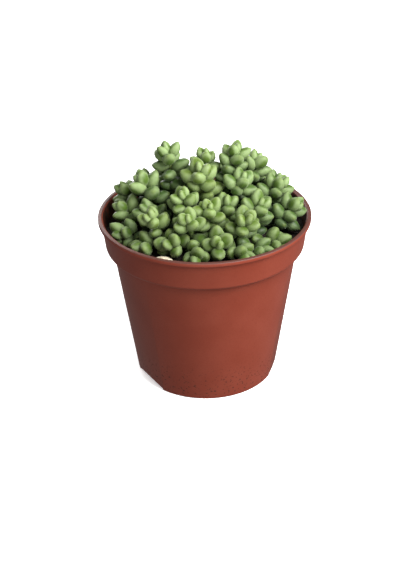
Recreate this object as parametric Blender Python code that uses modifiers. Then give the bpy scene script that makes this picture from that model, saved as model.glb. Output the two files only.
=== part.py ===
"""A potted burro's tail: a plastic nursery pot, its soil, and the leafy stems that stand in the soil.

Metres, +Z up. The origin is the middle of the pot's foot, on the surface it stands on.
The front of the pot looks along -Y.
"""

import math
import random

import bmesh
import bpy
import numpy as np
from mathutils import Matrix, Vector

MM = 0.001

# Pot: driving sizes
RIM_RADIUS = 65 * MM
POT_HEIGHT = 108 * MM
WALL = 1.2 * MM
LIP_HEIGHT = 2.6 * MM
LIP_OVERHANG = 1.9 * MM
LIP_ROUNDING = 0.7 * MM
BAND_HEIGHT = 21 * MM
BAND_TAPER = 2 * MM
STEP_WIDTH = 4.25 * MM
STEP_HEIGHT = 1.6 * MM
FOOT_RADIUS = 44.2 * MM
FOOT_ROUNDING = 0.8 * MM
FOOT_WIDTH = 2.6 * MM
FLOOR_LIFT = 3 * MM
POT_SIDES = 32

# Drain notches round the foot, with their turns from the front in degrees, and drain holes in the floor
NOTCH_TURNS = (-58, 82, 192)
NOTCH_WIDTH = 29 * MM
NOTCH_HEIGHT = 4.6 * MM
NOTCH_DEPTH = 3.2 * MM
HOLES = 5
HOLE_RADIUS = 4 * MM
HOLE_CIRCLE = 27 * MM
HOLE_SIDES = 6

# Soil
FIT_GAP = 0.3 * MM
SOIL_DEPTH = 11 * MM
SOIL_MOUND = 1.5 * MM
MOUND_RING = 0.65
SOIL_SIDES = 16
ROOT_LENGTH = 11 * MM
ROOT_HOLE_RADIUS = 2.35 * MM
ROOT_HOLE_SIDES = 5

# Stems
STEM_RADIUS = 1.6 * MM
STEM_TIP_SHARE = 0.5
STEM_POINTS = 4
STEM_PULL = 0.74
STEM_RISE = 0.35
STEM_BEND = 0.4
LEAN_PER_METRE = math.radians(900)
SEED = 7

# Leaves
LEAF_SIDES = 4
LEAF_RINGS = ((0.40, 0.95), (0.74, 0.88))
LEAF_FLATTENING = 0.9
FULL_LEAF = 13.4 * MM
LEAF_SIZES = (0.92, 1.06)
BUD_SHARES = (0.26, 0.43)
LOW_BUD_SHARES = (0.08, 0.20)
LEAF_GROWTH = 1.8
LEAF_HALF_WIDTH = 0.25
LEAF_EXTRA_WIDTH = 0.35 * MM
ROOT_START = 0.3 * MM
FULL_TILT = math.radians(94)
TILT_GROWTH = 4.8
TILT_START = 0.5
GOLDEN_ANGLE = math.radians(137.508)
TIP_DEPTH = 4 * MM
LEAF_PITCH = 0.85 * MM
LEAF_PITCH_GROWTH = 0.04 * MM
AZIMUTH_WOBBLE = 0.1
TILT_WOBBLE = 0.08
LENGTH_WOBBLE = 0.07
MOST_LEAVES = 15
FEWEST_LEAVES = 9
BARE_FOOT = 3 * MM

# Clearances between the leaves of different stems, and to the pot and the soil
LEAF_GAP = 0.3 * MM
OWN_OVERLAP = -0.3 * MM
BUD_OVERLAP = 3 * MM
BUD_CROWDING = 2.5
OUTER_BALLS = 2
BALLS = ((0.30, 0.66), (0.46, 0.95), (0.63, 1.0), (0.82, 0.76))
TURNS = (0, 9, -9, 18, -18, 28, -28)
NODS = (0, -10, 10, -20, 20, -32)
SIZES = (1.0, 0.94, 0.88, 0.82)
SHRINK_COST = 110

# A dried leaf that has dropped on the soil: across and back from the middle, its turn and size
DRY_LEAF_PLACE = (-24 * MM, -44 * MM)
DRY_LEAF_TURN = math.radians(-12)
DRY_LEAF_LENGTH = 12 * MM
DRY_LEAF_HALF_WIDTH = 3 * MM
DRY_LEAF_HALF_THICKNESS = 1.8 * MM

# The growing tips, front to back: across, back from the middle and above the rim, in mm, then the way
# that the youngest leaf faces, in degrees from the left round by the front
TIPS = (
    (-6, -49, -6, 90), (22, -48, -6, 90), (8, -47, 2, 180), (-21, -41, 0, 45), (-38, -36, -6, 225),
    (-10, -38, 14, 210), (34, -42, -7, 135), (25, -34, 12, 115), (-33, -32, 13, 60), (45, -31, -7, 180),
    (3, -27, 17, 180), (-13, -21, 22, 95), (-51, -22, -3, 90), (34, -18, 15, 50), (14, -14, 14, 45),
    (-36, -12, 9, 90), (56, -9, 8, 135), (-2, -8, 32, 20), (23, -7, 26, 180), (-51, -2, 5, 0),
    (-38, 0, 22, 0), (20, 6, 39.5, 135), (48, 8, 15, 135), (-23, 9, 39, 135), (1, 11, 33, 180),
    (-38, 16, 17, 60), (-50, 15, 10, 200), (33, 20, 26, 210), (46, 25, 9, 45), (17, 25, 20, 180),
    (0, 28, 16, 300), (-23, 29, 20, 20), (-39, 33, 2, 130), (36, 34, 9, 250), (-22, 46, -1, 100),
    (18, 46, -1, 330), (-2, 50, -3, 170),
)

GREEN = (0.17, 0.26, 0.09, 1.0)
TERRACOTTA = (0.30, 0.052, 0.026, 1.0)
PEAT = (0.018, 0.013, 0.01, 1.0)
STRAW = (0.55, 0.43, 0.28, 1.0)


def clear_scene():
    for item in list(bpy.data.objects):
        bpy.data.objects.remove(item)


def collection(name):
    made = bpy.data.collections.new(name)
    bpy.context.scene.collection.children.link(made)
    return made


def material(name, colour, roughness):
    made = bpy.data.materials.new(name)
    made.use_nodes = True
    shader = made.node_tree.nodes["Principled BSDF"]
    shader.inputs["Base Color"].default_value = colour
    shader.inputs["Roughness"].default_value = roughness
    shader.inputs["Metallic"].default_value = 0.0
    return made


def add_object(name, mesh, home, finish=None):
    item = bpy.data.objects.new(name, mesh)
    home.objects.link(item)
    if finish:
        mesh.materials.append(finish)
    return item


def make_cutter(item):
    item.hide_render = True
    item.display_type = "WIRE"
    return item


def boolean(item, operation, cutter):
    modifier = item.modifiers.new(operation.title(), "BOOLEAN")
    modifier.operation = operation
    modifier.object = cutter
    modifier.solver = "EXACT"


def turned(name, profile, sides, home, finish=None):
    """A solid of revolution. The profile is (radius, height), from the top of the axis to its foot."""
    mesh = bpy.data.meshes.new(name)
    points = [(radius, 0, height) for radius, height in profile]
    mesh.from_pydata(points, [(i, i + 1) for i in range(len(points) - 1)], [])
    item = add_object(name, mesh, home, finish)
    screw = item.modifiers.new("Turn", "SCREW")
    screw.steps = sides
    screw.render_steps = sides
    screw.use_merge_vertices = True
    screw.merge_threshold = 1e-5
    screw.use_smooth_shade = True
    return item


# ---- pot ----------------------------------------------------------------------------------------


def band_radius(height):
    """Outer radius of the band under the lip."""
    below_lip = (POT_HEIGHT - LIP_HEIGHT - height) / (BAND_HEIGHT - LIP_HEIGHT)
    return RIM_RADIUS - LIP_OVERHANG - BAND_TAPER * below_lip


def outer_profile():
    rim = POT_HEIGHT
    lip = rim - LIP_HEIGHT
    band = rim - BAND_HEIGHT
    round_ = LIP_ROUNDING
    band_foot = band_radius(band)
    return [
        (0, rim),
        (RIM_RADIUS - round_, rim),
        (RIM_RADIUS, rim - round_),
        (RIM_RADIUS, lip + round_),
        (band_radius(lip), lip),
        (band_foot, band + STEP_HEIGHT),
        (band_foot - STEP_WIDTH, band),
        (FOOT_RADIUS + FOOT_ROUNDING / 2, 2 * FOOT_ROUNDING),
        (FOOT_RADIUS - FOOT_ROUNDING, 0),
        (0, 0),
    ]


def inner_profile(gap, top):
    """The hollow of the pot, kept clear of its walls by gap, from the given height down."""
    band = POT_HEIGHT - BAND_HEIGHT
    wall = WALL + gap
    floor = FLOOR_LIFT + WALL + gap
    band_foot = band_radius(band) - wall
    throat = band_foot - STEP_WIDTH
    foot = FOOT_RADIUS + (floor / band) * (band_foot + wall - STEP_WIDTH - FOOT_RADIUS) - wall
    return [
        (band_radius(top) - wall, top),
        (band_foot, band + STEP_HEIGHT + wall / 2),
        (throat, band + wall / 2),
        (foot, floor),
        (0, floor),
    ]


def notch_cutter(name, turn, wall, home):
    """A box that cuts a drain notch at the foot. Its inner face slopes in from the body to the foot.

    It cuts deeper and wider by a wall, for the hollow or the soil behind the notch.
    """
    slope = math.atan2(NOTCH_DEPTH, NOTCH_HEIGHT)
    mesh = bpy.data.meshes.new(name)
    box = bmesh.new()
    bmesh.ops.create_cube(box, size=1)
    bmesh.ops.scale(box, vec=(NOTCH_WIDTH + 2 * wall, FOOT_RADIUS, POT_HEIGHT), verts=box.verts)
    bmesh.ops.translate(box, vec=(0, wall - FOOT_RADIUS / 2, 0), verts=box.verts)
    box.to_mesh(mesh)
    box.free()
    item = make_cutter(add_object(name, mesh, home))
    foot = Matrix.Translation((0, NOTCH_DEPTH - FOOT_RADIUS, 0))
    item.matrix_world = Matrix.Rotation(turn, 4, "Z") @ foot @ Matrix.Rotation(slope, 4, "X")
    return item


def cut_notches(item, label, wall, cutters):
    for n, turn in enumerate(NOTCH_TURNS):
        cutter = notch_cutter(f"{label}_notch_{n}", math.radians(turn), wall, cutters)
        boolean(item, "DIFFERENCE", cutter)


def post(name, centre, radius, height, sides, home):
    """An upright cylinder, used as a cutter."""
    mesh = bpy.data.meshes.new(name)
    shape = bmesh.new()
    bmesh.ops.create_cone(
        shape, cap_ends=True, segments=sides, radius1=radius, radius2=radius, depth=height
    )
    shape.to_mesh(mesh)
    shape.free()
    item = make_cutter(add_object(name, mesh, home))
    item.location = centre
    return item


def make_pot(home, cutters, finish):
    pot = turned("pot", outer_profile(), POT_SIDES, home, finish)
    edge = POT_HEIGHT - LIP_ROUNDING
    mouth = band_radius(POT_HEIGHT) - WALL + LIP_ROUNDING
    above = [(0, POT_HEIGHT + WALL), (mouth, POT_HEIGHT + WALL), (mouth, POT_HEIGHT)]
    hollow = make_cutter(turned("hollow", above + inner_profile(0, edge), POT_SIDES, cutters))
    inside = FOOT_RADIUS - FOOT_WIDTH
    under = [(0, FLOOR_LIFT), (inside, FLOOR_LIFT), (inside, -WALL), (0, -WALL)]
    recess = make_cutter(turned("recess", under, POT_SIDES, cutters))
    cut_notches(pot, "outer", 0, cutters)
    cut_notches(hollow, "inner", WALL, cutters)
    boolean(pot, "DIFFERENCE", hollow)
    boolean(pot, "DIFFERENCE", recess)
    places = [(0, 0, FLOOR_LIFT)]
    for n in range(HOLES):
        turn = math.tau * n / HOLES
        places.append((HOLE_CIRCLE * math.cos(turn), HOLE_CIRCLE * math.sin(turn), FLOOR_LIFT))
    for n, place in enumerate(places):
        boolean(pot, "DIFFERENCE", post(f"drain_{n}", place, HOLE_RADIUS, 4 * WALL, HOLE_SIDES, cutters))
    return pot


# ---- soil ---------------------------------------------------------------------------------------


def soil_height(x, y):
    edge = band_radius(POT_HEIGHT - SOIL_DEPTH)
    share = min(1.0, math.hypot(x, y) / edge)
    return POT_HEIGHT - SOIL_DEPTH + SOIL_MOUND * (1 - share * share)


def make_soil(paths, home, cutters, finish):
    edge = POT_HEIGHT - SOIL_DEPTH
    radius = band_radius(edge) - WALL - FIT_GAP
    mound = [(radius * share, soil_height(radius * share, 0)) for share in (0, MOUND_RING)]
    soil = turned("soil", mound + inner_profile(FIT_GAP, edge), SOIL_SIDES, home, finish)
    cut_notches(soil, "soil", WALL + FIT_GAP, cutters)
    height = 2 * ROOT_LENGTH
    for n, path in enumerate(paths):
        place = path[0] + Vector((0, 0, ROOT_LENGTH - FIT_GAP))
        hole = post(f"root_hole_{n}", place, ROOT_HOLE_RADIUS, height, ROOT_HOLE_SIDES, cutters)
        boolean(soil, "DIFFERENCE", hole)
    return soil


# ---- stems and leaves ---------------------------------------------------------------------------


def stem_path(tip):
    """Points up a stem, from its foot in the soil to its growing tip, which leans outwards near the rim."""
    x, y, rise = (value * MM for value in tip[:3])
    top = Vector((x, y, POT_HEIGHT + rise))
    reach = math.hypot(x, y)
    foot = Vector((x * STEM_PULL, y * STEM_PULL, soil_height(x * STEM_PULL, y * STEM_PULL)))
    lean = LEAN_PER_METRE * reach
    outwards = Vector((x, y, 0)).normalized()
    heading = outwards * math.sin(lean) + Vector((0, 0, 1)) * math.cos(lean)
    climb = (top - foot).length
    first = foot + Vector((0, 0, climb * STEM_RISE))
    second = top - heading * climb * STEM_BEND
    path = [foot - Vector((0, 0, ROOT_LENGTH))]
    for n in range(STEM_POINTS):
        t = n / (STEM_POINTS - 1)
        path.append(
            foot * (1 - t) ** 3
            + first * 3 * t * (1 - t) ** 2
            + second * 3 * t * t * (1 - t)
            + top * t ** 3
        )
    return path


def point_below_tip(path, distance):
    """The point that far down the stem from its tip, and the way the stem grows there."""
    for upper, lower in zip(path[::-1], path[-2::-1]):
        step = (upper - lower).length
        if distance <= step:
            return upper.lerp(lower, distance / step), (upper - lower).normalized()
        distance -= step
    return path[0], Vector((0, 0, 1))


def leaf_depth(number):
    """How far below the stem's tip a leaf has its root."""
    return TIP_DEPTH + LEAF_PITCH * number + LEAF_PITCH_GROWTH * number ** 2


def leaf_count(path):
    """As many leaves as fit between the tip and the stem's bare foot."""
    free = sum((b - a).length for a, b in zip(path[1:], path[2:])) - BARE_FOOT
    count = 0
    while count < MOST_LEAVES and leaf_depth(count) < free:
        count += 1
    return max(FEWEST_LEAVES, count)


def leaf_matrix(path, number, azimuth, tilt, length):
    """Where a unit leaf, which grows from 0 to 1 along Z, stands on the stem."""
    root, up = point_below_tip(path, leaf_depth(number))
    side = up.cross(Vector((0, 1, 0))).normalized()
    out = Matrix.Rotation(azimuth, 3, up) @ side
    along = (up * math.cos(tilt) + out * math.sin(tilt)).normalized()
    across = along.cross(up if number else side).normalized()
    face = along.cross(across)
    half = LEAF_HALF_WIDTH * length + LEAF_EXTRA_WIDTH
    frame = Matrix((across * half, face * half * LEAF_FLATTENING, along * length)).transposed()
    return Matrix.Translation(root + along * ROOT_START) @ frame.to_4x4()


def balls_of(matrix):
    """Balls that fill a leaf, as rows of x, y, z and radius."""
    half = max(matrix.to_3x3().col[0].length, matrix.to_3x3().col[1].length)
    return np.array([[*(matrix @ Vector((0, 0, t))), share * half] for t, share in BALLS])


def stem_balls(path):
    rows = []
    for low, high in zip(path, path[1:]):
        steps = max(1, round((high - low).length / STEM_RADIUS))
        rows += [[*low.lerp(high, n / steps), STEM_RADIUS] for n in range(steps + 1)]
    return np.array(rows)


def clear_of(balls, others, gap):
    if not len(others):
        return True
    apart = np.linalg.norm(balls[:, None, :3] - others[None, :, :3], axis=2)
    return bool((apart > balls[:, None, 3] + others[None, :, 3] + gap).all())


def clear_of_pot(balls):
    for x, y, z, radius in balls:
        if z - radius < soil_height(x, y) + LEAF_GAP:
            return False
        reach = math.hypot(x, y) + radius + LEAF_GAP
        inside = band_radius(min(z, POT_HEIGHT)) - WALL
        if reach > (inside if z - radius < POT_HEIGHT + LEAF_GAP else RIM_RADIUS):
            return False
    return True


def ways_to_sit():
    """How a leaf may turn, nod or stay smaller to find room, the least change first."""
    ways = [(turn, nod, size) for turn in TURNS for nod in NODS for size in SIZES]
    return sorted(ways, key=lambda way: abs(way[0]) + abs(way[1]) + SHRINK_COST * (1 - way[2]))


def dry_leaf_matrix():
    """Where the dried leaf lies: flat on the soil, along the rim."""
    x, y = DRY_LEAF_PLACE
    place = Matrix.Translation((x, y, soil_height(x, y) + FIT_GAP + DRY_LEAF_HALF_THICKNESS))
    turn = Matrix.Rotation(DRY_LEAF_TURN, 4, "Z")
    flat = Matrix.Rotation(math.pi / 2, 4, "Y")
    centre = Matrix.Translation((0, 0, -DRY_LEAF_LENGTH / 2))
    size = Matrix.Diagonal((DRY_LEAF_HALF_THICKNESS, DRY_LEAF_HALF_WIDTH, DRY_LEAF_LENGTH, 1))
    return place @ turn @ flat @ centre @ size


def grow_leaves(paths):
    """The matrices of each stem's leaves. The youngest leaves of all stems take their room first."""
    draw = random.Random(SEED)
    phases = [math.radians(tip[3]) for tip in TIPS]
    full_leaves = [FULL_LEAF * draw.uniform(*LEAF_SIZES) for _ in paths]
    bud_shares = [draw.uniform(*(BUD_SHARES if tip[2] > 0 else LOW_BUD_SHARES)) for tip in TIPS]
    counts = [leaf_count(path) for path in paths]
    stems = [stem_balls(path) for path in paths]
    leaves = [[] for _ in paths]
    taken = [np.empty((0, 4)) for _ in paths]
    own = [np.empty((0, 4)) for _ in paths]
    dropped = balls_of(dry_leaf_matrix())
    ways = ways_to_sit()
    for number in range(max(counts)):
        for n, path in enumerate(paths):
            wobble = [draw.uniform(-1, 1) for _ in range(3)]
            if number >= counts[n]:
                continue
            others = np.concatenate([dropped, *taken[:n], *taken[n + 1 :], *stems[:n], *stems[n + 1 :]])
            azimuth = phases[n] + GOLDEN_ANGLE * number + AZIMUTH_WOBBLE * wobble[0]
            tilt = FULL_TILT * (1 - math.exp(-(number + TILT_START) / TILT_GROWTH))
            tilt += TILT_WOBBLE * wobble[1]
            length = full_leaves[n] * (1 - bud_shares[n] * math.exp(-number / LEAF_GROWTH))
            length *= 1 + LENGTH_WOBBLE * wobble[2]
            crowding = OWN_OVERLAP + BUD_OVERLAP * math.exp(-number / BUD_CROWDING)
            for turn, nod, size in ways:
                matrix = leaf_matrix(
                    path, number, azimuth + math.radians(turn), tilt + math.radians(nod), length * size
                )
                balls = balls_of(matrix)
                outer = balls[OUTER_BALLS:]
                if (
                    clear_of_pot(balls)
                    and clear_of(balls, others, LEAF_GAP)
                    and clear_of(outer, own[n], -crowding)
                ):
                    leaves[n].append(matrix)
                    taken[n] = np.concatenate([taken[n], balls])
                    own[n] = np.concatenate([own[n], outer])
                    break
    return leaves


def leaf_mesh():
    """A plump leaf of few sides: a ball of two rings, pulled out into a narrow root and a blunt tip.

    The upper ring is turned by half a side, which keeps the leaf round with few faces.
    """
    twist = Matrix.Rotation(math.pi / LEAF_SIDES, 3, "Z")
    mesh = bpy.data.meshes.new("leaf")
    shape = bmesh.new()
    bmesh.ops.create_uvsphere(shape, u_segments=LEAF_SIDES, v_segments=3, radius=1)
    for vertex in shape.verts:
        height = vertex.co.z
        if abs(height) > 0.99:
            vertex.co.z = 1 if height > 0 else 0
            continue
        along, radius = LEAF_RINGS[1 if height > 0 else 0]
        vertex.co = vertex.co.xy.normalized().to_3d() * radius
        vertex.co.z = along
        if height > 0:
            vertex.co = twist @ vertex.co
    shape.to_mesh(mesh)
    shape.free()
    return mesh


def stem_solid(name, path, home, finish):
    """The stem's own tube, as a closed mesh."""
    line = bpy.data.curves.new(name, "CURVE")
    line.dimensions = "3D"
    line.bevel_depth = STEM_RADIUS
    line.bevel_resolution = 0
    line.use_fill_caps = True
    spline = line.splines.new("POLY")
    spline.points.add(len(path) - 1)
    for point, place in zip(spline.points, path):
        point.co = (*place, 1)
    spline.points[-1].radius = STEM_TIP_SHARE
    guide = bpy.data.objects.new(name + "_line", line)
    home.objects.link(guide)
    graph = bpy.context.evaluated_depsgraph_get()
    mesh = bpy.data.meshes.new_from_object(guide.evaluated_get(graph))
    shape = bmesh.new()
    shape.from_mesh(mesh)
    bmesh.ops.remove_doubles(shape, verts=shape.verts, dist=1e-6)
    shape.to_mesh(mesh)
    shape.free()
    bpy.data.objects.remove(guide)
    mesh.name = name
    return add_object(name, mesh, home, finish)


def make_stem(name, path, matrices, leaf, home, finish):
    """A leafy stem: its leaves are joined to it in one solid."""
    stem = stem_solid(name, path, home, finish)
    bunch = collection(name + "_leaves")
    for n, matrix in enumerate(matrices):
        item = add_object(f"{name}_leaf_{n}", leaf.copy(), bunch)
        item.matrix_world = matrix
    join = stem.modifiers.new("Join leaves", "BOOLEAN")
    join.operation = "UNION"
    join.operand_type = "COLLECTION"
    join.collection = bunch
    join.solver = "MANIFOLD"
    graph = bpy.context.evaluated_depsgraph_get()
    mesh = bpy.data.meshes.new_from_object(stem.evaluated_get(graph))
    stem.modifiers.clear()
    stem.data = mesh
    mesh.materials.clear()
    mesh.materials.append(finish)
    for item in list(bunch.objects):
        bpy.data.objects.remove(item)
    bpy.data.collections.remove(bunch)
    return stem


def build():
    clear_scene()
    home = collection("potted_burros_tail")
    cutters = collection("cutters")
    green = material("leaf_green", GREEN, 0.5)
    paths = [stem_path(tip) for tip in TIPS]
    make_pot(home, cutters, material("terracotta_plastic", TERRACOTTA, 0.45))
    make_soil(paths, home, cutters, material("potting_soil", PEAT, 0.9))
    leaf = leaf_mesh()
    for n, (path, matrices) in enumerate(zip(paths, grow_leaves(paths)), 1):
        make_stem(f"leafy_stem_{n:02d}", path, matrices, leaf, home, green)
    dry_leaf = add_object("dry_leaf", leaf, home, material("dried_leaf", STRAW, 0.6))
    dry_leaf.matrix_world = dry_leaf_matrix()


build()
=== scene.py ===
"""The looks of a potted burro's tail: plump leaves with their bloom, a nursery pot and its soil.

Metres, +Z up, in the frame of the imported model. The front of the pot looks along -Y.
"""

import math
import random

import bmesh
import bpy
import numpy as np
from mathutils import Matrix, Vector


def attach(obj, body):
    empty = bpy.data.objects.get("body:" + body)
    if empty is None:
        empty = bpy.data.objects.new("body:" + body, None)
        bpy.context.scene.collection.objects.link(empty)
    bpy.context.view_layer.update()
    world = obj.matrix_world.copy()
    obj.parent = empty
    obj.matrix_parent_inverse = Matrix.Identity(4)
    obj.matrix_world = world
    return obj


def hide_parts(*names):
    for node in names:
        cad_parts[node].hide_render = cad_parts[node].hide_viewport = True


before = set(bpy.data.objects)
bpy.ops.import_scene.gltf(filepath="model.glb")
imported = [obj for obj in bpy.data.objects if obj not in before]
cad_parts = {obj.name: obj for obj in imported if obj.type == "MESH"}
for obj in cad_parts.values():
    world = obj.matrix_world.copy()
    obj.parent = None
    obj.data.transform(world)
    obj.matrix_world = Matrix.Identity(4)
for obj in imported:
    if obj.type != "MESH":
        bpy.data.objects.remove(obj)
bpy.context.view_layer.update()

MM = 0.001

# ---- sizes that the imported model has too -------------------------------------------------

# Pot
RIM_RADIUS = 65 * MM
POT_HEIGHT = 108 * MM
WALL = 1.2 * MM
LIP_HEIGHT = 2.6 * MM
LIP_OVERHANG = 1.9 * MM
LIP_ROUNDING = 0.7 * MM
BAND_HEIGHT = 21 * MM
BAND_TAPER = 2 * MM
STEP_WIDTH = 4.25 * MM
STEP_HEIGHT = 1.6 * MM
FOOT_RADIUS = 44.2 * MM
FOOT_ROUNDING = 0.8 * MM
FOOT_WIDTH = 2.6 * MM
FLOOR_LIFT = 3 * MM
NOTCH_TURNS = (-58, 82, 192)
NOTCH_WIDTH = 29 * MM
NOTCH_HEIGHT = 4.6 * MM
NOTCH_DEPTH = 3.2 * MM
HOLES = 5
HOLE_RADIUS = 4 * MM
HOLE_CIRCLE = 27 * MM

# Soil
FIT_GAP = 0.3 * MM
SOIL_DEPTH = 11 * MM
SOIL_MOUND = 1.5 * MM
ROOT_LENGTH = 11 * MM

# Stems
STEM_RADIUS = 1.6 * MM
STEM_TIP_SHARE = 0.5
STEM_POINTS = 4
STEM_PULL = 0.74
STEM_RISE = 0.35
STEM_BEND = 0.4
LEAN_PER_METRE = math.radians(900)
SEED = 7

# Leaves. The lower ones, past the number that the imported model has, are added here
LEAF_FLATTENING = 0.9
FULL_LEAF = 13.4 * MM
LEAF_SIZES = (0.92, 1.06)
BUD_SHARES = (0.26, 0.43)
LOW_BUD_SHARES = (0.08, 0.20)
LEAF_GROWTH = 1.8
LEAF_HALF_WIDTH = 0.25
LEAF_EXTRA_WIDTH = 0.35 * MM
ROOT_START = 0.3 * MM
FULL_TILT = math.radians(94)
TILT_GROWTH = 4.8
TILT_START = 0.5
GOLDEN_ANGLE = math.radians(137.508)
TIP_DEPTH = 4 * MM
LEAF_PITCH = 0.85 * MM
LEAF_PITCH_GROWTH = 0.04 * MM
AZIMUTH_WOBBLE = 0.1
TILT_WOBBLE = 0.08
LENGTH_WOBBLE = 0.07
MODEL_LEAVES = 15
MOST_LEAVES = 28
FEWEST_LEAVES = 9
BARE_FOOT = 3 * MM
LEAF_GAP = 0.3 * MM
OWN_OVERLAP = -0.3 * MM
BUD_OVERLAP = 3 * MM
BUD_CROWDING = 2.5
OUTER_BALLS = 2
BALLS = ((0.30, 0.66), (0.46, 0.95), (0.63, 1.0), (0.82, 0.76))
TURNS = (0, 9, -9, 18, -18, 28, -28)
NODS = (0, -10, 10, -20, 20, -32)
SIZES = (1.0, 0.94, 0.88, 0.82)
SHRINK_COST = 110

# A dried leaf that has dropped on the soil: across and back from the middle, its turn and size
DRY_LEAF_PLACE = (-24 * MM, -44 * MM)
DRY_LEAF_TURN = math.radians(-12)
DRY_LEAF_LENGTH = 12 * MM
DRY_LEAF_HALF_WIDTH = 3 * MM
DRY_LEAF_HALF_THICKNESS = 1.8 * MM

# The growing tips, front to back: across, back from the middle and above the rim, in mm, then
# the way that the youngest leaf faces, in degrees from the left round by the front
TIPS = (
    (-6, -49, -6, 90), (22, -48, -6, 90), (8, -47, 2, 180), (-21, -41, 0, 45),
    (-38, -36, -6, 225), (-10, -38, 14, 210), (34, -42, -7, 135), (25, -34, 12, 115),
    (-33, -32, 13, 60), (45, -31, -7, 180), (3, -27, 17, 180), (-13, -21, 22, 95),
    (-51, -22, -3, 90), (34, -18, 15, 50), (14, -14, 14, 45), (-36, -12, 9, 90),
    (56, -9, 8, 135), (-2, -8, 32, 20), (23, -7, 26, 180), (-51, -2, 5, 0),
    (-38, 0, 22, 0), (20, 6, 39.5, 135), (48, 8, 15, 135), (-23, 9, 39, 135),
    (1, 11, 33, 180), (-38, 16, 17, 60), (-50, 15, 10, 200), (33, 20, 26, 210),
    (46, 25, 9, 45), (17, 25, 20, 180), (0, 28, 16, 300), (-23, 29, 20, 20),
    (-39, 33, 2, 130), (36, 34, 9, 250), (-22, 46, -1, 100), (18, 46, -1, 330),
    (-2, 50, -3, 170),
)

# ---- sizes of what is added here ---------------------------------------------------------

# Angles named sharp are in degrees: an edge that turns by more isn't shaded smooth
POT_SIDES = 128
ROUND_STEPS = 4
STEP_SOFTNESS = 1.6 * MM
UNDER_LIP_ROUNDING = 0.6 * MM
INNER_ROUNDING = 0.5 * MM
HOLE_SIDES = 24
POT_SHARP_EDGE = 35
SOIL_SIDES = 96
SOIL_RINGS = 26
SOIL_SHARP_EDGE = 60
SOIL_LUMPS = 1.6 * MM
# Lumps of soil: how far across, and share of the full height
LUMP_KINDS = ((9 * MM, 1.0), (2.5 * MM, 0.9))
CRUMBS = 260
CRUMB_SIZE = (0.35 * MM, 1.1 * MM)
CRUMB_WIDTH = (0.5, 1)
CRUMB_HEIGHT = (0.4, 0.9)
CRUMB_RAGGEDNESS = 0.35
CRUMB_LIFT = 0.3
CRUMB_CLEARANCE = 2 * MM
CRUMB_SEED = 3
CRUMB_SHAPE_SEED = 5

# A leaf from its root to its tip: share of its length, share of its half width
LEAF_SIDES = 10
LEAF_RINGS = ((0.06, 0.38), (0.22, 0.80), (0.44, 1.07), (0.66, 1.0), (0.84, 0.67), (0.95, 0.30))
LEAF_CURVE = 0.16
LEAF_INNER_SHARE = 0.84
LEAF_PLUMPNESS = 1.17
PLUMPNESS_WOBBLE = 0.05
LEAF_LENGTH_SHARE = 0.97
LEAF_DRAW_SEED = 21
# How painted shade grows from the front of the plant to its back, and how much it wobbles from stem
# to stem.
PAINTED_SHADE_DEPTH = 130 * MM
PAINTED_SHADE_WOBBLE = 0.3
STALK_SHARP_EDGE = 50
# The bare stalk's age, tint and painted shade; with no painted shade it takes the painted sunlit
# colour.
STALK_GROWTH_AND_SHADE = (1.0, 1.0, 0.0)
WRINKLE_SIZE = 2 * MM
WRINKLE_DEPTH = 0.7 * MM
WRINKLE_MIDDLE = 0.6
SAME_PLACE = 1e-6

# For shaping a leaf of length 1: how close a vertex lies to its ring's height, where shaped
# rings wait while the others are picked, and how far off its middle line the inner side starts
NEAR = 1e-3
OUT_OF_THE_WAY = 10
INNER_SIDE = 0.01

# Where colours fade: share of a leaf's length, heights on the pot and in the plant, radii
LEAF_FACE_MIDDLE = 0.6
# Painted shade on leaves low in the plant fades out between these heights.
SHADY_HEIGHTS = (POT_HEIGHT - 6 * MM, POT_HEIGHT + 24 * MM)
DIRT_HEIGHTS = (4 * MM, 34 * MM)
# Soil stain with painted shade on the inside wall: its soft edge, and the heights where it ends
# under the rim.
STAIN_AND_SHADE_EDGE = 0.2 * MM
STAIN_AND_SHADE_END_HEIGHTS = (POT_HEIGHT - 1.8 * MM, POT_HEIGHT - 0.2 * MM)
# Painted shade on the top of the lip, between these heights.
LIP_SHADE_HEIGHTS = (POT_HEIGHT - 0.7 * MM, POT_HEIGHT - 0.1 * MM)
# Painted contact shadow on the floor, fading out between these radii.
FOOT_SHADE_RADII = (36 * MM, 52 * MM)

# Studio: lamps by name, with their place, size and power
FLOOR_SIZE = 60
PAPER_GLOW = 0.86
AIR_BRIGHTNESS = 0.27
LAMPS = (
    ("window", (0.62, -0.44, 0.85), 0.8, 30.5),
    ("bounce_card", (0.1, -1.1, 0.2), 0.4, 4),
    ("back_card", (-0.45, 1.0, 0.35), 0.7, 9),
)
CAMERA_PLACE = (0, -0.627, 0.423)
CAMERA_TILT = 0.529
CAMERA_TURN = 0.0057
CAMERA_ROLL = -0.0184
CAMERA_LENS = 72.6


# ---- modelling helpers -------------------------------------------------------------------


def make_active(item):
    bpy.ops.object.select_all(action="DESELECT")
    item.select_set(True)
    bpy.context.view_layer.objects.active = item
    return item


def named(name):
    """The piece that an operator has just added, with its name."""
    item = bpy.context.view_layer.objects.active
    item.name = name
    item.data.name = name
    return item


def open_mesh(item):
    make_active(item)
    bpy.ops.object.mode_set(mode="EDIT")


def close_mesh():
    bpy.ops.object.mode_set(mode="OBJECT")


def pick(item, test):
    """Selects the vertices of the open mesh whose place passes the test."""
    shape = bmesh.from_edit_mesh(item.data)
    for vertex in shape.verts:
        vertex.select = test(vertex.co)
    shape.select_flush_mode()
    bmesh.update_edit_mesh(item.data)


def apply_modifier(item, kind, **settings):
    modifier = item.modifiers.new(kind.title(), kind)
    for key, value in settings.items():
        setattr(modifier, key, value)
    make_active(item)
    bpy.ops.object.modifier_apply(modifier=modifier.name)


def cut(item, cutter):
    apply_modifier(item, "BOOLEAN", object=cutter, operation="DIFFERENCE", solver="EXACT")
    bpy.data.objects.remove(cutter)


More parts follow.
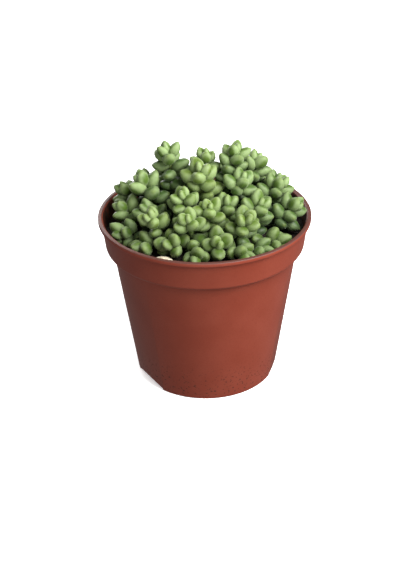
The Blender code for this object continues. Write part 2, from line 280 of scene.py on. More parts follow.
def shade(item, degrees=None):
    make_active(item)
    if degrees is None:
        bpy.ops.object.shade_smooth()
    else:
        bpy.ops.object.shade_smooth_by_angle(angle=math.radians(degrees))


def turned(name, profile, sides):
    """A closed turned body, pulled up ring by ring. The profile is a list of (radius, height)."""
    radius, height = profile[0]
    bpy.ops.object.select_all(action="DESELECT")
    bpy.ops.mesh.primitive_circle_add(
        vertices=sides, radius=radius, fill_type="NGON", location=(0, 0, height)
    )
    item = named(name)
    make_active(item)
    bpy.ops.object.transform_apply()
    open_mesh(item)
    bpy.ops.mesh.select_all(action="SELECT")
    for new_radius, new_height in profile[1:]:
        rise = (0, 0, new_height - height)
        bpy.ops.mesh.extrude_region_move(TRANSFORM_OT_translate={"value": rise})
        share = new_radius / radius
        bpy.ops.transform.resize(value=(share, share, 1), center_override=(0, 0, new_height))
        radius, height = new_radius, new_height
    bpy.ops.mesh.select_all(action="SELECT")
    bpy.ops.mesh.normals_make_consistent(inside=False)
    close_mesh()
    return item


def rounded(corner, before, after, radius):
    """Points of a rounded corner of a profile, from the side of before to the side of after."""
    corner = Vector(corner)
    start = corner + (Vector(before) - corner).normalized() * radius
    end = corner + (Vector(after) - corner).normalized() * radius
    points = []
    for n in range(ROUND_STEPS + 1):
        t = n / ROUND_STEPS
        points.append(tuple(start * (1 - t) ** 2 + corner * 2 * t * (1 - t) + end * t * t))
    return points


def joined(name, items):
    """Several pieces as one."""
    bpy.ops.object.select_all(action="DESELECT")
    for item in items:
        item.select_set(True)
    bpy.context.view_layer.objects.active = items[0]
    bpy.ops.object.join()
    bpy.ops.object.transform_apply()
    return named(name)


def dress(item, finish, slot, *nodes):
    """Gives a finished piece its material and its body, and hides what it stands for. The slot is
    not used.
    """
    item.data.materials.clear()
    item.data.materials.append(finish)
    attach(item, "root")
    if nodes:
        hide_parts(*nodes)


# ---- finishes ----------------------------------------------------------------------------


class Socket:
    """An output of a shader node. Sums, differences and products of it add Math nodes."""

    def __init__(self, finish, socket):
        self.finish = finish
        self.socket = socket

    def math(self, operation, *values):
        return self.finish.node("ShaderNodeMath", {"operation": operation}, dict(enumerate(values)))

    def __add__(self, other):
        return self.math("ADD", self, other)

    def __radd__(self, other):
        return self.math("ADD", other, self)

    def __sub__(self, other):
        return self.math("SUBTRACT", self, other)

    def __rsub__(self, other):
        return self.math("SUBTRACT", other, self)

    def __mul__(self, other):
        return self.math("MULTIPLY", self, other)

    def __rmul__(self, other):
        return self.math("MULTIPLY", other, self)

    def root(self):
        return self.math("SQRT", self)

    def between(self, low, high):
        """0 below low, 1 above high, and smooth in between."""
        settings = {"interpolation_type": "SMOOTHSTEP"}
        values = {"Value": self, "From Min": low, "From Max": high}
        return self.finish.node("ShaderNodeMapRange", settings, values)


class Finish:
    """A material, built up node by node round its Principled shader."""

    def __init__(self, name, **constants):
        self.material = bpy.data.materials.new(name)
        self.material.use_nodes = True
        self.tree = self.material.node_tree
        self.shader = self.tree.nodes["Principled BSDF"]
        for key, value in constants.items():
            self.shader.inputs[key.replace("_", " ")].default_value = value
        self.place = self.node("ShaderNodeTexCoord", output="Object")

    def feed(self, socket, value):
        if isinstance(value, Socket):
            self.tree.links.new(value.socket, socket)
        else:
            socket.default_value = value

    def node(self, kind, settings=None, values=None, output=0):
        """Adds a node with its settings first, then the values or links of its sockets."""
        made = self.tree.nodes.new(kind)
        for key, value in (settings or {}).items():
            setattr(made, key, value)
        for key, value in (values or {}).items():
            self.feed(made.inputs[key], value)
        return Socket(self, made.outputs[output])

    def noise(self, size, detail, roughness=0.5):
        """Cloudy noise between 0 and 1 whose patches are about that many metres across."""
        values = {"Vector": self.place, "Scale": 1 / size, "Detail": detail, "Roughness": roughness}
        return self.node("ShaderNodeTexNoise", None, values)

    def mix(self, share, first, second):
        """One colour over another."""
        settings = {"data_type": "RGBA"}
        return self.node("ShaderNodeMix", settings, {0: share, 6: first, 7: second}, output=2)

    def attribute(self, name):
        """The three numbers of a piece's own attribute."""
        vector = self.node("ShaderNodeAttribute", {"attribute_name": name}, output="Vector")
        return self.split(vector)

    def split(self, vector):
        values = {"Vector": vector}
        return [self.node("ShaderNodeSeparateXYZ", None, values, output=axis) for axis in "XYZ"]

    def bump(self, height, strength, distance):
        values = {"Height": height, "Strength": strength, "Distance": distance}
        return self.node("ShaderNodeBump", None, values)

    def wear(self, **links):
        for key, value in links.items():
            self.feed(self.shader.inputs[key.replace("_", " ")], value)
        return self.material


def leaf_skin():
    """Plump green leaf under a pale powdery bloom that is rubbed off in the middle of its face. Its
    margins are paler, partly bloom and partly a painted sheen; leaves low in the plant and towards
    its back carry painted shade, those at its front a painted sunlit colour.
    """
    finish = Finish(
        "burro_leaf_skin", Subsurface_Weight=0.12, Subsurface_Scale=0.0012,
        Subsurface_Radius=(0.7, 1.0, 0.35), Sheen_Weight=0.08, Sheen_Roughness=0.45,
        Sheen_Tint=(0.85, 1.0, 0.75, 1), Specular_IOR_Level=0.3,
    )
    age, tint, painted_shade = finish.attribute("growth_and_shade")
    across, _, along = finish.attribute("skin")
    _, _, height = finish.split(finish.place)
    young = (0.092, 0.157, 0.027, 1)
    grown = (0.026, 0.062, 0.013, 1)
    dark_green_and_shade = (0.012, 0.036, 0.013, 1)
    painted_sunlit = (0.170, 0.220, 0.033, 1)
    powder_and_sheen = (0.258, 0.345, 0.148, 1)
    rubbed = (0.056, 0.108, 0.009, 1)
    tip = (0.10, 0.14, 0.02, 1)
    speck = (0.045, 0.075, 0.022, 1)

    cloud = finish.noise(3.2 * MM, 3)
    fine = finish.noise(0.5 * MM, 2)
    off_middle = along - LEAF_FACE_MIDDLE
    spread = across * across * 2.2 + off_middle * off_middle * 11
    face = 1 - (spread + cloud * 0.6 - 0.3).between(0.05, 0.9)
    # Paler towards the leaf's margins: partly real bloom, partly a painted sheen rim.
    edge = spread.between(0.5, 1.4)
    bloom_and_sheen = (cloud.between(0.3, 0.75) * 0.3 + edge * 0.68) * (1.0 - 0.8 * age) * (1 - face * 0.7)
    # Painted shade: leaves low in the plant are darkened and carry less bloom.
    deep = 1 - height.between(*SHADY_HEIGHTS)

    flesh = finish.mix(age.between(0.0, 0.75), young, grown)
    flesh = finish.mix(tint.between(0.1, 1.0) * age * 0.8, flesh, dark_green_and_shade)
    # Painted light and shade: stems at the front take a painted sunlit colour, stems further back
    # and leaves low in the plant a painted shade.
    flesh = finish.mix((1 - painted_shade.between(0, 0.8)) * 0.6, flesh, painted_sunlit)
    flesh = finish.mix(painted_shade.between(0.4, 1.1) * 0.4 + deep * 0.6, flesh, dark_green_and_shade)
    skin = finish.mix(bloom_and_sheen * (1 - deep * 0.5), flesh, powder_and_sheen)
    skin = finish.mix(face * (0.35 + 0.4 * tint.between(-0.6, 0.6)), skin, rubbed)
    skin = finish.mix(along.between(0.90, 0.99) * 0.6, skin, tip)
    skin = finish.mix(fine.between(0.68, 0.76) * 0.35, skin, speck)
    return finish.wear(
        Base_Color=skin,
        Roughness=0.42 + bloom_and_sheen * 0.3,
        Normal=finish.bump(cloud * 0.6 + fine * 0.25, 0.25, 0.4 * MM),
    )


def pot_plastic():
    """Matt terracotta plastic with a fine mottle and dirt specks at the foot. The inside wall above
    the soil is darkened, partly soil stain and partly painted shade, and the top of the lip carries
    a painted shade.
    """
    finish = Finish("terracotta_nursery_plastic", Specular_IOR_Level=0.32)
    x, y, z = finish.split(finish.place)
    brick = (0.208, 0.036, 0.018, 1)
    pale = (0.258, 0.056, 0.032, 1)
    deep = (0.145, 0.024, 0.012, 1)
    soil_dirt_and_shade = (0.035, 0.018, 0.012, 1)
    painted_lip_shade = (0.075, 0.030, 0.024, 1)

    cloud = finish.noise(22 * MM, 3)
    mottle = finish.noise(0.9 * MM, 3, 0.65)
    dirt = finish.noise(1.4 * MM, 2).between(0.60, 0.68) * (1 - z.between(*DIRT_HEIGHTS)) * 0.8
    band_slope = BAND_TAPER / BAND_HEIGHT
    inner_face = RIM_RADIUS - LIP_OVERHANG - WALL * 0.6 - band_slope * (POT_HEIGHT - z)
    inside = 1 - ((x * x + y * y).root() - inner_face).between(-STAIN_AND_SHADE_EDGE, STAIN_AND_SHADE_EDGE)
    inside = inside * z.between(POT_HEIGHT - SOIL_DEPTH - MM, POT_HEIGHT - SOIL_DEPTH)
    stain_and_shade = inside * (0.55 + 0.45 * finish.noise(6 * MM, 3).between(0.35, 0.6))

    colour = finish.mix(cloud.between(0.3, 0.75) * 0.45, brick, pale)
    colour = finish.mix(mottle.between(0.5, 0.75) * 0.35, colour, deep)
    colour = finish.mix(dirt, colour, soil_dirt_and_shade)
    # Soil stain with painted shade: the inside wall above the soil is darkened nearly to black, up
    # to just under the rim.
    colour = finish.mix(stain_and_shade * (1 - z.between(*STAIN_AND_SHADE_END_HEIGHTS)), colour, soil_dirt_and_shade)
    # Painted shade on the top of the lip.
    colour = finish.mix(z.between(*LIP_SHADE_HEIGHTS) * 0.9, colour, painted_lip_shade)
    return finish.wear(
        Base_Color=colour,
        Roughness=0.40 + mottle * 0.16 + dirt * 0.3,
        Normal=finish.bump(mottle, 0.12, 0.15 * MM),
    )


def peat():
    """Dark damp peat with brown fibres and crumbs."""
    finish = Finish("dark_peat", Specular_IOR_Level=0.25)
    damp = (0.010, 0.008, 0.007, 1)
    dry = (0.028, 0.018, 0.013, 1)
    fibre = (0.085, 0.052, 0.034, 1)
    fine = finish.noise(0.8 * MM, 4, 0.7)
    coarse = finish.noise(4 * MM, 2)
    colour = finish.mix(coarse, damp, dry)
    colour = finish.mix(fine.between(0.62, 0.75) * 0.6, colour, fibre)
    return finish.wear(
        Base_Color=colour,
        Roughness=0.82 + fine * 0.15,
        Normal=finish.bump(fine + coarse * 0.5, 0.7, 0.5 * MM),
    )


def dried_skin():
    """A cream, papery dead leaf with brown flecks."""
    finish = Finish("dried_leaf_skin", Specular_IOR_Level=0.3, Sheen_Weight=0.15)
    straw = (0.62, 0.53, 0.37, 1)
    cream = (0.74, 0.68, 0.52, 1)
    brown = (0.30, 0.19, 0.09, 1)
    cloud = finish.noise(2.5 * MM, 3)
    fine = finish.noise(0.5 * MM, 3)
    colour = finish.mix(cloud.between(0.35, 0.65), straw, cream)
    colour = finish.mix(fine.between(0.55, 0.7) * 0.6, colour, brown)
    return finish.wear(
        Base_Color=colour,
        Roughness=0.6 + fine * 0.2,
        Normal=finish.bump(fine + cloud, 0.4, 0.3 * MM),
    )


def studio_paper():
    """White paper that glows a little, except right under and beside the pot's foot, where the glow
    turns grey as a painted contact shadow.
    """
    finish = Finish("studio_floor", Specular_IOR_Level=0.0, Emission_Strength=PAPER_GLOW)
    pale = (0.92, 0.92, 0.92, 1)
    paler = (0.94, 0.94, 0.94, 1)
    white = (1, 1, 1, 1)
    grey = (0.35, 0.35, 0.35, 1)
    x, y, _ = finish.split(finish.place)
    near = 1 - (x * x + y * y).root().between(*FOOT_SHADE_RADII)
    return finish.wear(
        Base_Color=finish.mix(finish.noise(0.4, 1), pale, paler),
        Roughness=0.9 + finish.noise(0.2, 1) * 0.05,
        # Painted contact shadow: the glow turns grey near the foot.
        Emission_Color=finish.mix(near, white, grey),
    )


# ---- pot ---------------------------------------------------------------------------------


def band_radius(height):
    """Outer radius of the band under the lip."""
    below_lip = (POT_HEIGHT - LIP_HEIGHT - height) / (BAND_HEIGHT - LIP_HEIGHT)
    return RIM_RADIUS - LIP_OVERHANG - BAND_TAPER * below_lip


def smooth_profile(points, radii):
    """A profile with rounded corners: one radius for each point but the first and the last."""
    smooth = [points[0]]
    for n, radius in enumerate(radii, 1):
        if radius:
            smooth += rounded(points[n], points[n - 1], points[n + 1], radius)
        else:
            smooth.append(points[n])
    return smooth + [points[-1]]


def outer_profile():
    """The outside of the pot, from the foot up to the mouth."""
    lip = POT_HEIGHT - LIP_HEIGHT
    band = POT_HEIGHT - BAND_HEIGHT
    band_foot = band_radius(band)
    points = [
        (FOOT_RADIUS - FOOT_ROUNDING, 0),
        (FOOT_RADIUS, 0.4 * FOOT_ROUNDING),
        (FOOT_RADIUS + FOOT_ROUNDING / 2, 2 * FOOT_ROUNDING),
        (band_foot - STEP_WIDTH, band),
        (band_foot, band + STEP_HEIGHT),
        (band_radius(lip), lip),
        (RIM_RADIUS, lip),
        (RIM_RADIUS, POT_HEIGHT),
        (RIM_RADIUS - 3 * LIP_ROUNDING, POT_HEIGHT),
    ]
    radii = (0, 0, STEP_SOFTNESS, STEP_SOFTNESS, UNDER_LIP_ROUNDING, LIP_ROUNDING, LIP_ROUNDING)
    return smooth_profile(points, radii)


def inner_profile(gap, top):
    """The hollow of the pot, kept clear of its walls by gap, from the floor up to that height."""
    band = POT_HEIGHT - BAND_HEIGHT
    wall = WALL + gap
    floor = FLOOR_LIFT + WALL + gap
    band_foot = band_radius(band) - wall
    throat = band_foot - STEP_WIDTH
    foot = FOOT_RADIUS + (floor / band) * (band_foot + wall - STEP_WIDTH - FOOT_RADIUS) - wall
    points = [
        (foot, floor),
        (throat, band + wall / 2),
        (band_foot, band + STEP_HEIGHT + wall / 2),
        (band_radius(top) - wall, top),
    ]
    return smooth_profile(points, (INNER_ROUNDING, INNER_ROUNDING))


def notch_cutter(turn, wall):
    """A block that cuts a drain notch. Its inner face slopes in from the body to the foot."""
    bpy.ops.object.select_all(action="DESELECT")
    bpy.ops.mesh.primitive_cube_add(size=1)
    block = named("notch_cutter")
    slope = math.atan2(NOTCH_DEPTH, NOTCH_HEIGHT)
    foot = Matrix.Translation((0, NOTCH_DEPTH - FOOT_RADIUS, 0))
    back = Matrix.Translation((0, wall - FOOT_RADIUS / 2, 0))
    size = Matrix.Diagonal((NOTCH_WIDTH + 2 * wall, FOOT_RADIUS, POT_HEIGHT, 1))
    block.matrix_world = (
        Matrix.Rotation(turn, 4, "Z") @ foot @ Matrix.Rotation(slope, 4, "X") @ back @ size
    )
    return block


def cut_notches(item, wall):
    for turn in NOTCH_TURNS:
        cut(item, notch_cutter(math.radians(turn), wall))


def make_pot():
    pot = turned("nursery_pot", outer_profile(), POT_SIDES)
    edge = POT_HEIGHT - LIP_ROUNDING
    mouth = band_radius(POT_HEIGHT) - WALL + LIP_ROUNDING
    above = [(mouth, POT_HEIGHT), (mouth, POT_HEIGHT + WALL)]
    hollow = turned("hollow", inner_profile(0, edge) + above, POT_SIDES)
    cut_notches(pot, 0)
    cut_notches(hollow, WALL)
    cut(pot, hollow)
    inside = FOOT_RADIUS - FOOT_WIDTH
    cut(pot, turned("recess", [(inside, -WALL), (inside, FLOOR_LIFT)], POT_SIDES))
    places = [(0, 0)]
    for n in range(HOLES):
        turn = math.tau * n / HOLES
        places.append((HOLE_CIRCLE * math.cos(turn), HOLE_CIRCLE * math.sin(turn)))
    for x, y in places:
        bpy.ops.object.select_all(action="DESELECT")
        bpy.ops.mesh.primitive_cylinder_add(
            vertices=HOLE_SIDES, radius=HOLE_RADIUS, depth=4 * WALL, location=(x, y, FLOOR_LIFT)
        )
        cut(pot, named("drain_hole"))
    shade(pot, POT_SHARP_EDGE)
    dress(pot, pot_plastic(), "terracotta_plastic", "pot")


# ---- soil --------------------------------------------------------------------------------


def soil_height(x, y):
    edge = band_radius(POT_HEIGHT - SOIL_DEPTH)
    share = min(1.0, math.hypot(x, y) / edge)
    return POT_HEIGHT - SOIL_DEPTH + SOIL_MOUND * (1 - share * share)


def make_soil(finish):
    edge = POT_HEIGHT - SOIL_DEPTH
    radius = band_radius(edge) - WALL - FIT_GAP
    mound = [
        (radius * share, soil_height(radius * share, 0))
        for share in (1 - n / SOIL_RINGS for n in range(1, SOIL_RINGS))
    ]
    soil = turned("peat_soil", inner_profile(FIT_GAP, edge) + mound, SOIL_SIDES)
    cut_notches(soil, WALL + FIT_GAP)
    group = soil.vertex_groups.new(name="surface")
    inner = radius * (1 - 0.5 / SOIL_RINGS)
    top = [v.index for v in soil.data.vertices if v.co.z > edge - MM and v.co.xy.length < inner]
    group.add(top, 1, "REPLACE")
    for size, strength in LUMP_KINDS:
        lumps = bpy.data.textures.new("soil_lumps", "CLOUDS")
        lumps.noise_scale = size
        apply_modifier(
            soil, "DISPLACE", texture=lumps, strength=strength * SOIL_LUMPS, mid_level=0.5,
            vertex_group="surface", direction="Z",
        )
    soil.vertex_groups.clear()
    shade(soil, SOIL_SHARP_EDGE)
    dress(soil, finish, "potting_soil", "soil")


def make_crumbs(finish):
    """Crumbs of peat that lie about on the soil."""
    draw = random.Random(CRUMB_SEED)
    bpy.ops.object.select_all(action="DESELECT")
    bpy.ops.mesh.primitive_ico_sphere_add(subdivisions=1, radius=1)
    crumb = named("crumb")
    open_mesh(crumb)
    bpy.ops.mesh.select_all(action="SELECT")
    bpy.ops.transform.vertex_random(offset=CRUMB_RAGGEDNESS, seed=CRUMB_SHAPE_SEED)
    close_mesh()
    reach = band_radius(POT_HEIGHT - SOIL_DEPTH) - WALL - CRUMB_CLEARANCE
    copies = []
    for _ in range(CRUMBS):
        turn = draw.uniform(0, math.tau)
        distance = reach * math.sqrt(draw.random())
        size = draw.uniform(*CRUMB_SIZE)
        x, y = distance * math.cos(turn), distance * math.sin(turn)
        copy = crumb.copy()
        copy.data = crumb.data.copy()
        bpy.context.collection.objects.link(copy)
        roll = Matrix.Rotation(draw.uniform(0, math.tau), 4, (draw.random(), draw.random(), 1))
        width, height = size * draw.uniform(*CRUMB_WIDTH), size * draw.uniform(*CRUMB_HEIGHT)
        flat = Matrix.Diagonal((size, width, height, 1))
        place = Matrix.Translation((x, y, soil_height(x, y) + size * CRUMB_LIFT))
        copy.matrix_world = place @ roll @ flat
        copies.append(copy)
    bpy.data.objects.remove(crumb)
    crumbs = joined("peat_crumbs", copies)
    dress(crumbs, finish, "potting_soil")


# ---- how the plant grows -----------------------------------------------------------------


def stem_path(tip):
    """Points up a stem, from its foot in the soil to its tip, which leans outwards near the rim."""
    x, y, rise = (value * MM for value in tip[:3])
    top = Vector((x, y, POT_HEIGHT + rise))
    reach = math.hypot(x, y)
    foot = Vector((x * STEM_PULL, y * STEM_PULL, soil_height(x * STEM_PULL, y * STEM_PULL)))
    lean = LEAN_PER_METRE * reach
    outwards = Vector((x, y, 0)).normalized()
    heading = outwards * math.sin(lean) + Vector((0, 0, 1)) * math.cos(lean)
    climb = (top - foot).length
    first = foot + Vector((0, 0, climb * STEM_RISE))
    second = top - heading * climb * STEM_BEND
    path = [foot - Vector((0, 0, ROOT_LENGTH))]
    for n in range(STEM_POINTS):
        t = n / (STEM_POINTS - 1)
        path.append(
            foot * (1 - t) ** 3
            + first * 3 * t * (1 - t) ** 2
            + second * 3 * t * t * (1 - t)
            + top * t ** 3
        )
    return path


def point_below_tip(path, distance):
    """The point that far down the stem from its tip, and the way the stem grows there."""
    for upper, lower in zip(path[::-1], path[-2::-1]):
        step = (upper - lower).length
        if distance <= step:
            return upper.lerp(lower, distance / step), (upper - lower).normalized()
        distance -= step
    return path[0], Vector((0, 0, 1))


def leaf_depth(number):
    """How far below the stem's tip a leaf has its root."""
    return TIP_DEPTH + LEAF_PITCH * number + LEAF_PITCH_GROWTH * number ** 2


def leaf_count(path):
    """As many leaves as fit between the tip and the stem's bare foot."""
    free = sum((b - a).length for a, b in zip(path[1:], path[2:])) - BARE_FOOT
    count = 0
    while count < MOST_LEAVES and leaf_depth(count) < free:
        count += 1
    return max(FEWEST_LEAVES, count)


def leaf_matrix(path, number, azimuth, tilt, length):
    """Where a unit leaf, from 0 to 1 along Z, stands on the stem. Its outer side is +Y."""
    root, up = point_below_tip(path, leaf_depth(number))
    side = up.cross(Vector((0, 1, 0))).normalized()
    out = Matrix.Rotation(azimuth, 3, up) @ side
    along = (up * math.cos(tilt) + out * math.sin(tilt)).normalized()
    across = along.cross(up if number else side).normalized()
    face = along.cross(across)
    half = LEAF_HALF_WIDTH * length + LEAF_EXTRA_WIDTH
    place = Matrix((across * half, face * half * LEAF_FLATTENING, along * length)).transposed()
    return Matrix.Translation(root + along * ROOT_START) @ place.to_4x4()


def balls_of(matrix):
    """Balls that fill a leaf, as rows of x, y, z and radius."""
    half = max(matrix.to_3x3().col[0].length, matrix.to_3x3().col[1].length)
    return np.array([[*(matrix @ Vector((0, 0, t))), share * half] for t, share in BALLS])


def stem_balls(path):
    rows = []
    for low, high in zip(path, path[1:]):
        steps = max(1, round((high - low).length / STEM_RADIUS))
        rows += [[*low.lerp(high, n / steps), STEM_RADIUS] for n in range(steps + 1)]
    return np.array(rows)


def clear_of(balls, others, gap):
    if not len(others):
        return True
    apart = np.linalg.norm(balls[:, None, :3] - others[None, :, :3], axis=2)
    return bool((apart > balls[:, None, 3] + others[None, :, 3] + gap).all())


def clear_of_pot(balls):
    for x, y, z, radius in balls:
        if z - radius < soil_height(x, y) + LEAF_GAP:
            return False
        reach = math.hypot(x, y) + radius + LEAF_GAP
        inside = band_radius(min(z, POT_HEIGHT)) - WALL
        if reach > (inside if z - radius < POT_HEIGHT + LEAF_GAP else RIM_RADIUS):
            return False
    return True


def ways_to_sit():
    """How a leaf may turn, nod or stay smaller to find room, the least change first."""
    ways = [(turn, nod, size) for turn in TURNS for nod in NODS for size in SIZES]
    return sorted(ways, key=lambda way: abs(way[0]) + abs(way[1]) + SHRINK_COST * (1 - way[2]))


def dry_leaf_matrix():
    """Where the dried leaf lies: flat on the soil, along the rim."""
    x, y = DRY_LEAF_PLACE
    place = Matrix.Translation((x, y, soil_height(x, y) + FIT_GAP + DRY_LEAF_HALF_THICKNESS))
    turn = Matrix.Rotation(DRY_LEAF_TURN, 4, "Z")
    flat = Matrix.Rotation(math.pi / 2, 4, "Y")
    centre = Matrix.Translation((0, 0, -DRY_LEAF_LENGTH / 2))
    size = Matrix.Diagonal((DRY_LEAF_HALF_THICKNESS, DRY_LEAF_HALF_WIDTH, DRY_LEAF_LENGTH, 1))
    return place @ turn @ flat @ centre @ size


def grow_leaves(paths):
    """Each stem's leaves, as number and matrix. The youngest of all stems take their room first."""
    draw = random.Random(SEED)
    phases = [math.radians(tip[3]) for tip in TIPS]
    full_leaves = [FULL_LEAF * draw.uniform(*LEAF_SIZES) for _ in paths]
    bud_shares = [draw.uniform(*(BUD_SHARES if tip[2] > 0 else LOW_BUD_SHARES)) for tip in TIPS]
    counts = [leaf_count(path) for path in paths]
    stems = [stem_balls(path) for path in paths]
    leaves = [[] for _ in paths]
    taken = [np.empty((0, 4)) for _ in paths]
    own = [np.empty((0, 4)) for _ in paths]
    dropped = balls_of(dry_leaf_matrix())
    ways = ways_to_sit()
    for number in range(max(counts)):
        for n, path in enumerate(paths):
            wobble = [draw.uniform(-1, 1) for _ in range(3)]
            if number >= counts[n]:
                continue
            others = np.concatenate(
                [dropped, *taken[:n], *taken[n + 1 :], *stems[:n], *stems[n + 1 :]]
            )
            azimuth = phases[n] + GOLDEN_ANGLE * number + AZIMUTH_WOBBLE * wobble[0]
            tilt = FULL_TILT * (1 - math.exp(-(number + TILT_START) / TILT_GROWTH))
            tilt += TILT_WOBBLE * wobble[1]
            length = full_leaves[n] * (1 - bud_shares[n] * math.exp(-number / LEAF_GROWTH))
            length *= 1 + LENGTH_WOBBLE * wobble[2]
            crowding = OWN_OVERLAP + BUD_OVERLAP * math.exp(-number / BUD_CROWDING)
            for turn, nod, size in ways:
                facing, lean = azimuth + math.radians(turn), tilt + math.radians(nod)
                matrix = leaf_matrix(path, number, facing, lean, length * size)
                balls = balls_of(matrix)
                outer = balls[OUTER_BALLS:]
                if (
                    clear_of_pot(balls)
                    and clear_of(balls, others, LEAF_GAP)
                    and clear_of(outer, own[n], -crowding)
                ):
                    leaves[n].append((number, matrix))
                    taken[n] = np.concatenate([taken[n], balls])
                    own[n] = np.concatenate([own[n], outer])
                    break
    return leaves


# ---- leaves and stems --------------------------------------------------------------------


def make_leaf():
    """One plump leaf from 0 to 1 along Z and 1 wide each way, curved towards the stem's tip."""
    bpy.ops.object.select_all(action="DESELECT")
    bpy.ops.mesh.primitive_uv_sphere_add(
        segments=LEAF_SIDES, ring_count=len(LEAF_RINGS) + 1, radius=1
    )
    leaf = named("burro_leaf")
    open_mesh(leaf)
    count = len(LEAF_RINGS) + 1
    for n, (along, radius) in enumerate(LEAF_RINGS, 1):
        height = -math.cos(math.pi * n / count)
        pick(leaf, lambda place: abs(place.z - height) < NEAR)
        share = radius / math.sin(math.pi * n / count)
        bpy.ops.transform.resize(value=(share, share, 1), center_override=(0, 0, height))
        bend = -LEAF_CURVE * along * along
        bpy.ops.transform.translate(value=(0, bend, OUT_OF_THE_WAY + along - height))
    pick(leaf, lambda place: abs(place.z + 1) < NEAR)
    bpy.ops.transform.translate(value=(0, 0, OUT_OF_THE_WAY + 1))
    pick(leaf, lambda place: abs(place.z - 1) < NEAR)
    bpy.ops.transform.translate(value=(0, -LEAF_CURVE, OUT_OF_THE_WAY))
    bpy.ops.mesh.select_all(action="SELECT")
    bpy.ops.transform.translate(value=(0, 0, -OUT_OF_THE_WAY))
    pick(leaf, lambda place: place.y < -LEAF_CURVE * place.z * place.z - INNER_SIDE)
    bpy.ops.transform.resize(value=(1, LEAF_INNER_SHARE, 1), center_override=(0, 0, 0))
    close_mesh()
    shade(leaf)
    return leaf


def mark_growth_and_shade(mesh, age, tint, painted_shade):
    """Gives a leaf its age, its tint and its share of painted shade, and its skin (across,
    outwards, along).
    """
    growth_and_shade = mesh.attributes.new("growth_and_shade", "FLOAT_VECTOR", "POINT")
    growth_and_shade.data.foreach_set("vector", [age, tint, painted_shade] * len(mesh.vertices))
    skin = mesh.attributes.new("skin", "FLOAT_VECTOR", "POINT")
    skin.data.foreach_set("vector", [value for vertex in mesh.vertices for value in vertex.co])


def make_stalk(path):
    """The bare stalk, as a tapered tube."""
    line = bpy.data.curves.new("stalk", "CURVE")
    line.dimensions = "3D"
    line.bevel_depth = STEM_RADIUS
    line.bevel_resolution = 2
    line.resolution_u = 3
    line.use_fill_caps = True
    spline = line.splines.new("NURBS")
    spline.points.add(len(path) - 1)
    for point, place in zip(spline.points, path):
        point.co = (*place, 1)
    spline.points[-1].radius = STEM_TIP_SHARE
    spline.use_endpoint_u = True
    spline.order_u = 3
    stalk = bpy.data.objects.new("stalk", line)
    bpy.context.collection.objects.link(stalk)
    make_active(stalk)
    bpy.ops.object.convert(target="MESH")
    stalk = named("stalk")
    open_mesh(stalk)
    bpy.ops.mesh.select_all(action="SELECT")
    bpy.ops.mesh.remove_doubles(threshold=SAME_PLACE)
    close_mesh()
    growth_and_shade = stalk.data.attributes.new("growth_and_shade", "FLOAT_VECTOR", "POINT")
    growth_and_shade.data.foreach_set("vector", STALK_GROWTH_AND_SHADE * len(stalk.data.vertices))
    stalk.data.attributes.new("skin", "FLOAT_VECTOR", "POINT")
    shade(stalk, STALK_SHARP_EDGE)
    return stalk


def make_stem(name, path, leaves, leaf, draw):
    parts = [make_stalk(path)]
    # Painted shade: it grows towards the back of the plant and wobbles from stem to stem; where it
    # is low, at the front, the leaves take a painted sunlit colour.
    painted_shade = 0.5 + path[-1].y / PAINTED_SHADE_DEPTH + draw.uniform(-PAINTED_SHADE_WOBBLE, PAINTED_SHADE_WOBBLE)
    for number, matrix in leaves:
        copy = leaf.copy()
        copy.data = leaf.data.copy()
        bpy.context.collection.objects.link(copy)
        mark_growth_and_shade(copy.data, number / MODEL_LEAVES, draw.uniform(-1, 1), painted_shade)
        plump = LEAF_PLUMPNESS * (1 + PLUMPNESS_WOBBLE * draw.uniform(-1, 1))
        copy.matrix_world = matrix @ Matrix.Diagonal((plump, plump, LEAF_LENGTH_SHARE, 1))
        parts.append(copy)
    return joined(name, parts)


def make_plant():
    skin = leaf_skin()
    leaf = make_leaf()
    paths = [stem_path(tip) for tip in TIPS]
    draw = random.Random(LEAF_DRAW_SEED)
    for n, (path, leaves) in enumerate(zip(paths, grow_leaves(paths)), 1):
        stem = make_stem(f"burro_stem_{n:02d}", path, leaves, leaf, draw)
        dress(stem, skin, "leaf_green", f"leafy_stem_{n:02d}")
    bpy.data.objects.remove(leaf)


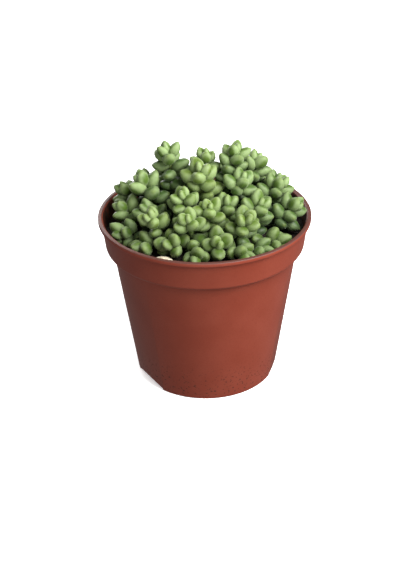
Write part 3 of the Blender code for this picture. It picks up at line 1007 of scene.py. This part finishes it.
def make_dried_leaf():
    leaf = make_leaf()
    leaf.matrix_world = dry_leaf_matrix()
    dried = joined("dried_burro_leaf", [leaf])
    apply_modifier(dried, "SUBSURF", levels=2, render_levels=2)
    wrinkles = bpy.data.textures.new("wrinkles", "CLOUDS")
    wrinkles.noise_scale = WRINKLE_SIZE
    apply_modifier(
        dried, "DISPLACE", texture=wrinkles, strength=WRINKLE_DEPTH, mid_level=WRINKLE_MIDDLE
    )
    shade(dried)
    dress(dried, dried_skin(), "dried_leaf", "dry_leaf")


# ---- studio ------------------------------------------------------------------------------


def make_studio():
    bpy.ops.object.select_all(action="DESELECT")
    bpy.ops.mesh.primitive_plane_add(size=FLOOR_SIZE)
    floor = named("floor")
    floor.data.materials.append(studio_paper())
    floor.visible_diffuse = False
    floor.visible_glossy = False

    world = bpy.data.worlds.new("studio_air")
    world.use_nodes = True
    air = world.node_tree.nodes["Background"]
    air.inputs["Color"].default_value = (1, 1, 1, 1)
    air.inputs["Strength"].default_value = AIR_BRIGHTNESS
    bpy.context.scene.world = world

    for name, place, size, power in LAMPS:
        light = bpy.data.lights.new(name, "AREA")
        light.size = size
        light.energy = power
        lamp = bpy.data.objects.new(name, light)
        lamp.location = place
        aim = Vector((0, 0, POT_HEIGHT)) - lamp.location
        lamp.rotation_euler = aim.to_track_quat("-Z", "Y").to_euler()
        bpy.context.scene.collection.objects.link(lamp)

    lens = bpy.data.cameras.new("camera")
    lens.lens = CAMERA_LENS
    camera = bpy.data.objects.new("camera", lens)
    camera.matrix_world = (
        Matrix.Translation(CAMERA_PLACE)
        @ Matrix.Rotation(CAMERA_TURN, 4, "Z")
        @ Matrix.Rotation(math.pi / 2 - CAMERA_TILT, 4, "X")
        @ Matrix.Rotation(CAMERA_ROLL, 4, "Z")
    )
    bpy.context.scene.collection.objects.link(camera)
    bpy.context.scene.camera = camera
    bpy.context.scene.view_settings.view_transform = "Standard"


make_studio()
make_pot()
soil_finish = peat()
make_soil(soil_finish)
make_crumbs(soil_finish)
make_plant()
make_dried_leaf()
